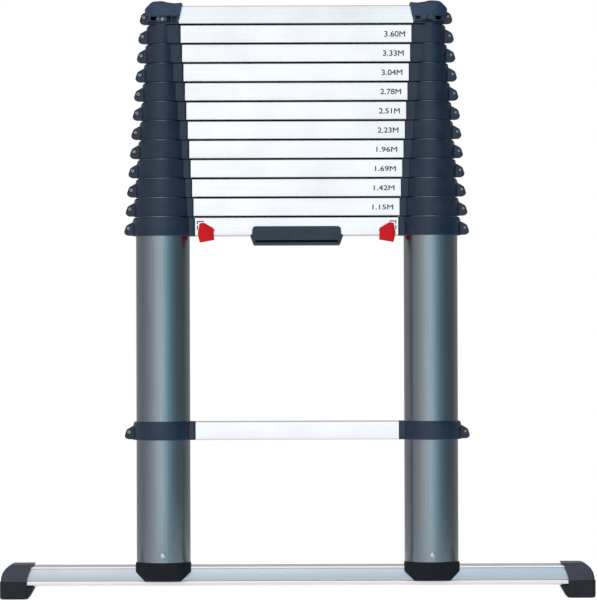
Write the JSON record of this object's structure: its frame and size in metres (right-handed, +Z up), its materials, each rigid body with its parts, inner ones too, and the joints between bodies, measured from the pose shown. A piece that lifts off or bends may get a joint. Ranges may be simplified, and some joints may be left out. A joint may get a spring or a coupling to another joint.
{
  "type": "telescoping ladder",
  "caption": "Closed telescopic ladder: nested round tubes with stacked metal rungs in black collars, red release buttons, a carry grip and a wide stabiliser bar with rubber feet.",
  "frame": {"origin": "on the floor under the middle of the ladder's outline, midway between the two stiles", "axes": "+X along the rungs to the user's right, -Y towards the user at the front, +Z up along the stiles"},
  "size_m": [0.904, 0.092, 0.9073],
  "materials": {
    "rung_metal": "bright satin",
    "bar_metal": "satin mill finish",
    "tube_metal": "anthracite anodised, satin",
    "black_plastic": "fine moulded grain",
    "grip_plastic": "moulded, slightly soft",
    "foot_rubber": "matt",
    "red_plastic": "semi-gloss",
    "steel": "plated"
  },
  "bodies": {
    "base": {"handle_rung": "rung_metal", "low_rung": "rung_metal", "carry_grip": "grip_plastic", "stabiliser_bar": "bar_metal", "base_tube_left": "tube_metal", "base_tube_right": "tube_metal", "handle_collar_left": "black_plastic", "handle_collar_right": "black_plastic", "low_collar_left": "black_plastic", "low_collar_right": "black_plastic", "lock_spring_left": "steel", "lock_spring_right": "steel", "foot_plug_left": "black_plastic", "foot_plug_right": "black_plastic", "foot_rivet_left": "steel", "foot_rivet_right": "steel", "bar_bolt_left": "steel", "bar_bolt_right": "steel", "bar_cap_left": "foot_rubber", "bar_cap_right": "foot_rubber"},
    "section_01": {"rung_01": "rung_metal", "tube_left_01": "tube_metal", "tube_right_01": "tube_metal"},
    "section_02": {"rung_02": "rung_metal", "tube_left_02": "tube_metal", "tube_right_02": "tube_metal"},
    "section_03": {"rung_03": "rung_metal", "tube_left_03": "tube_metal", "tube_right_03": "tube_metal"},
    "section_04": {"rung_04": "rung_metal", "tube_left_04": "tube_metal", "tube_right_04": "tube_metal"},
    "section_05": {"rung_05": "rung_metal", "tube_left_05": "tube_metal", "tube_right_05": "tube_metal"},
    "section_06": {"rung_06": "rung_metal", "tube_left_06": "tube_metal", "tube_right_06": "tube_metal"},
    "section_07": {"rung_07": "rung_metal", "tube_left_07": "tube_metal", "tube_right_07": "tube_metal"},
    "section_08": {"rung_08": "rung_metal", "tube_left_08": "tube_metal", "tube_right_08": "tube_metal"},
    "section_09": {"rung_09": "rung_metal", "tube_left_09": "tube_metal", "tube_right_09": "tube_metal"},
    "section_10": {"rung_10": "rung_metal", "tube_left_10": "tube_metal", "tube_right_10": "tube_metal"},
    "section_11": {"rung_11": "rung_metal", "tube_left_11": "tube_metal", "tube_right_11": "tube_metal", "top_cap_left": "black_plastic", "top_cap_right": "black_plastic"},
    "release_left": {"release_button_left": "red_plastic", "lock_pin_left": "steel"},
    "release_right": {"release_button_right": "red_plastic", "lock_pin_right": "steel"}
  },
  "joints": [
    {"name": "section_01_slide", "type": "slide", "parent": "base", "child": "section_01", "axis": [0, 0, 1], "range_m": [0, 0.272]},
    {"name": "section_02_slide", "type": "slide", "parent": "section_01", "child": "section_02", "axis": [0, 0, 1], "range_m": [0, 0.272]},
    {"name": "section_03_slide", "type": "slide", "parent": "section_02", "child": "section_03", "axis": [0, 0, 1], "range_m": [0, 0.272]},
    {"name": "section_04_slide", "type": "slide", "parent": "section_03", "child": "section_04", "axis": [0, 0, 1], "range_m": [0, 0.272]},
    {"name": "section_05_slide", "type": "slide", "parent": "section_04", "child": "section_05", "axis": [0, 0, 1], "range_m": [0, 0.272]},
    {"name": "section_06_slide", "type": "slide", "parent": "section_05", "child": "section_06", "axis": [0, 0, 1], "range_m": [0, 0.272]},
    {"name": "section_07_slide", "type": "slide", "parent": "section_06", "child": "section_07", "axis": [0, 0, 1], "range_m": [0, 0.272]},
    {"name": "section_08_slide", "type": "slide", "parent": "section_07", "child": "section_08", "axis": [0, 0, 1], "range_m": [0, 0.272]},
    {"name": "section_09_slide", "type": "slide", "parent": "section_08", "child": "section_09", "axis": [0, 0, 1], "range_m": [0, 0.272]},
    {"name": "section_10_slide", "type": "slide", "parent": "section_09", "child": "section_10", "axis": [0, 0, 1], "range_m": [0, 0.272]},
    {"name": "section_11_slide", "type": "slide", "parent": "section_10", "child": "section_11", "axis": [0, 0, 1], "range_m": [0, 0.272]},
    {"name": "release_left_slide", "type": "slide", "parent": "base", "child": "release_left", "axis": [1, 0, 0], "range_m": [0, 0.008], "stiffness_N_per_m": 500, "springref_m": -0.002, "deforming": ["lock_spring_left"]},
    {"name": "release_right_slide", "type": "slide", "parent": "base", "child": "release_right", "axis": [-1, 0, 0], "range_m": [0, 0.008], "stiffness_N_per_m": 500, "springref_m": -0.002, "deforming": ["lock_spring_right"]}
  ]
}
